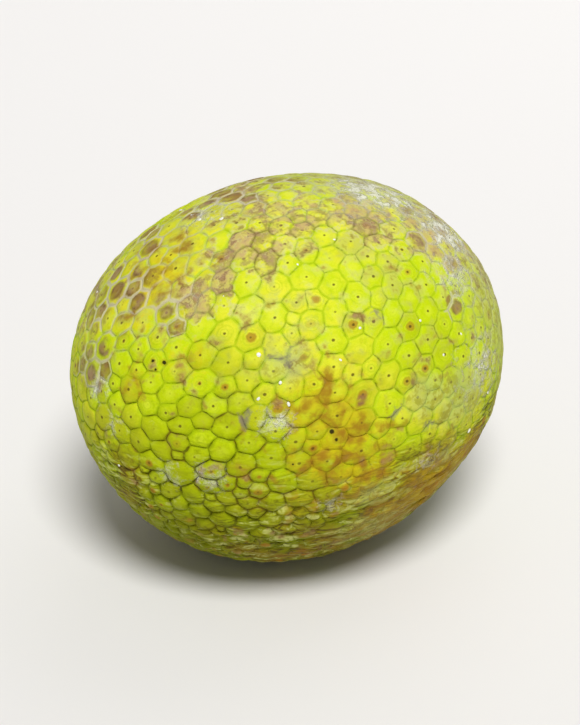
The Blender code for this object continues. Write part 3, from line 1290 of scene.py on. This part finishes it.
# Patches of each kind: bearing, height and spread in degrees, then strength.
PATCHES = {
    BlemishKind.BROWNED: (
        (165, 40, 16, 1), (148, 50, 13, 0.8), (140, 64, 12, 0.85), (-34, 52, 13, 0.78),
        (-166, 20, 3, 0.9), (-165, 42, 7, 0.95), (175, 18, 10, 0.8), (120, 80, 14, 0.75),
        (85, 64, 15, 0.85), (25, 56, 14, 0.85), (-58, 32, 4.5, 1.6), (-10, 50, 14, 0.8),
        (60, 20, 15, 0.9), (100, -12, 12, 0.8),
    ),
    BlemishKind.SCUFFED: (
        (-153, 47, 8, 1.2), (-146, 66, 11, 1), (-155, 82, 12, 0.9), (-105, 76, 9, 0.85),
        (110, 72, 12, 0.85), (5, 66, 14, 1.05), (-30, 40, 12, 0.95), (-45, 68, 14, 1.1),
        (-34, 50, 14, 1.15), (-5, 40, 14, 1), (-26, 28, 11, 1.05), (150, 25, 12, 0.7),
        (15, -20, 12, 0.8),
    ),
    BlemishKind.RUST: (
        (-111, 19, 13, 0.9), (-106, 6, 13, 1.15), (-100, -6, 10, 1), (-116, -12, 6, 0.5),
        (-79, -20, 9, 0.9), (-72, -23, 13, 1.15), (-62, -17, 8.5, 0.95), (-148, 32, 4, 0.8),
        (-165, 20, 6, 0.85), (178, 52, 18, 0.7), (-163, -4, 5, 0.45), (-88, -30, 13, 0.7),
        (85, 35, 14, 0.75), (35, -8, 13, 0.7),
    ),
    # Latex film; the patches on the top and right-hand limbs are partly painted sheen.
    BlemishKind.LATEX_AND_SHEEN: (
        (-10, 66, 16, 1), (-25, 45, 14, 0.95), (-48, 38, 10, 0.8), (-56, 10, 13, 0.75),
        (-150, -4, 4.5, 0.8), (-139, -3, 5, 0.8), (-108, -14, 4, 0.7), (-80, -9, 5, 0.65),
        (180, 13, 5, 0.8), (-170, 5, 4, 0.7), (153, 68, 9, 0.65), (-122, 15, 5, 0.85),
        (20, 20, 22, 0.6), (120, 25, 14, 0.6),
    ),
    # Dulled patches; those on the right-hand limb and the top are partly painted sheen.
    BlemishKind.DULLED_AND_SHEEN: (
        (-30, 18, 30, 0.95), (-80, 13, 8, 1.05), (-68, 7, 11, 1.15), (-120, 31, 7, 1.05),
        (20, 60, 34, 1), (-92, -34, 16, 0.7), (-97, -14, 7, 0.75), (-73, -11, 6, 0.7),
        (172, 18, 9, 0.6),
    ),
    BlemishKind.NETTED: (
        (165, 45, 30, 1), (60, 70, 34, 1), (-25, 35, 30, 1), (100, 10, 30, 0.8),
    ),
    BlemishKind.CREASED: (
        (-78, -26, 22, 1.15), (-105, -44, 25, 1.15), (-50, -14, 15, 0.9), (-97, -22, 13, 1),
        (-84, -12, 9, 0.55), (-128, -42, 20, 0.6), (-170, -14, 13, 0.6), (62, -30, 22, 0.8),
        (150, -38, 20, 0.8),
    ),
    BlemishKind.GOLDEN: (
        (178, 45, 22, 0.95), (-150, 30, 14, 0.7), (-104, 6, 18, 0.5), (80, 30, 22, 0.8),
        (30, -10, 18, 0.75),
    ),
    BlemishKind.UNRIPE: (
        (-70, 34, 17, 1), (-148, 22, 12, 0.85), (-177, 19, 9, 0.8), (-145, 6, 14, 0.85),
        (-166, -4, 12, 0.6), (-87, -8, 10, 0.6), (105, 0, 26, 0.8), (20, 12, 18, 0.7),
    ),
    BlemishKind.GREYED: (
        (-121, 33, 5, 1), (-130, 16, 4, 1), (-91, 12, 3.5, 0.95), (-90, 40, 3.5, 0.9),
        (-81, 4, 3.5, 0.95), (70, 45, 5, 0.95),
    ),
}
BLEMISHES = tuple(Blemish(kind, *row) for kind, rows in PATCHES.items() for row in rows)

# Dark nicks: bearing, height and radius.
NICKS = (
    (-108.0, 10.5, 1.1 * MM),
    (-107.0, 8.0, 1.0 * MM),
    (-161.0, 28.0, 0.8 * MM),
    (-157.0, 28.5, 0.9 * MM),
    (-159.0, 26.0, 0.7 * MM),
    (-118.0, 2.0, 0.7 * MM),
    (60.0, 35.0, 1.3 * MM),
)

# Set drops of latex: bearing, height and radius in mm.
DROPS = (
    (172.0, 71.0, 1.1),
    (158.0, 66.0, 0.8),
    (-128.0, 34.0, 0.9),
    (-127.0, 22.0, 1.1),
    (-119.0, 20.0, 1.0),
    (-63.0, -8.0, 1.1),
    (-62.0, 24.0, 0.7),
    (-96.0, 38.0, 0.6),
    (-75.0, 34.0, 0.6),
    (-90.0, 66.0, 0.6),
    (-115.0, 60.0, 0.6),
)


def main() -> None:
    """Build the pieces in order, dress them and set the studio."""
    noise.seed_set(NOISE_SEED)
    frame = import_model()
    low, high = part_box(FRUIT_NODE)
    log.info("frame holds %s", sorted(frame["nodes"]))

    body = FruitBody()
    rind_maker = Rind(body, AreoleNet(body), BLEMISHES)
    rind = rind_maker.build()
    nicks = tuple((body.spot(bearing, height), size) for bearing, height, size in NICKS)
    rind.data.materials.append(RindFinish(nicks).material())
    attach(rind, BODY)
    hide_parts(FRUIT_NODE)
    log.info("rind: %d areoles, %d points", rind_maker.cell_count, len(rind.data.vertices))

    plug = StalkPlug(body).build()
    plug.data.materials.append(CorkFinish().material())
    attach(plug, BODY)
    log.info("stalk scar: %d points", len(plug.data.vertices))

    drops = LatexDrops(body, DROPS).build()
    drops.data.materials.append(LatexFinish().material())
    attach(drops, BODY)
    log.info("latex drops: %d points", len(drops.data.vertices))

    Studio(target=(low + high) / 2).build()


if __name__ == "__main__":
    logging.basicConfig(level=logging.INFO)
    main()
